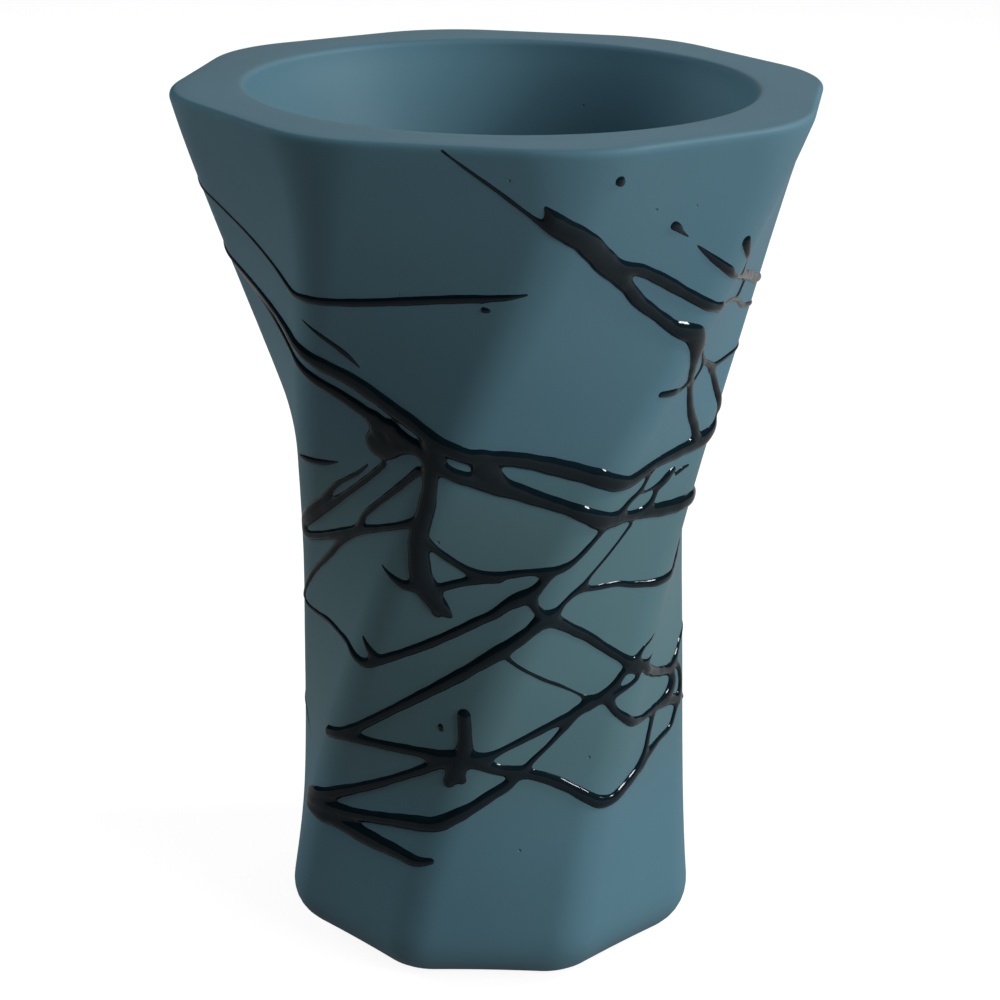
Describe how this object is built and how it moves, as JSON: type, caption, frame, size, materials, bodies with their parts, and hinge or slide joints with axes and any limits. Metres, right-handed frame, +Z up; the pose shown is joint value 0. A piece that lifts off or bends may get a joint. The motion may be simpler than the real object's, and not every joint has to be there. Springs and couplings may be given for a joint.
{
  "type": "twisted vase",
  "caption": "Tall octagonal vessel, twisted and drawn in at the waist, with a thick flat rim, a round bore and raised black enamel trails; holds pens, brushes or stems.",
  "frame": {"origin": "centre of the foot, on the surface it stands on", "axes": "+Z up along the vessel's axis; the side in the picture faces -Y"},
  "size_m": [0.0866, 0.0866, 0.12],
  "materials": {
    "ceramic": "matte",
    "enamel": "gloss"
  },
  "bodies": {
    "root": {"body": "ceramic", "waist_band": "enamel", "lower_waist_band": "enamel", "post_drip": "enamel", "left_net": "enamel", "upper_rising_trail": "enamel", "lower_rising_trail": "enamel", "foot_zigzag": "enamel", "side_loops": "enamel", "hair_trail": "enamel", "cross_stroke": "enamel", "rim_fork_trail": "enamel", "rim_side_drips": "enamel", "shoulder_trail": "enamel", "back_upper_web": "enamel", "back_middle_web": "enamel", "back_foot_web": "enamel", "drops": "enamel"}
  },
  "joints": []
}
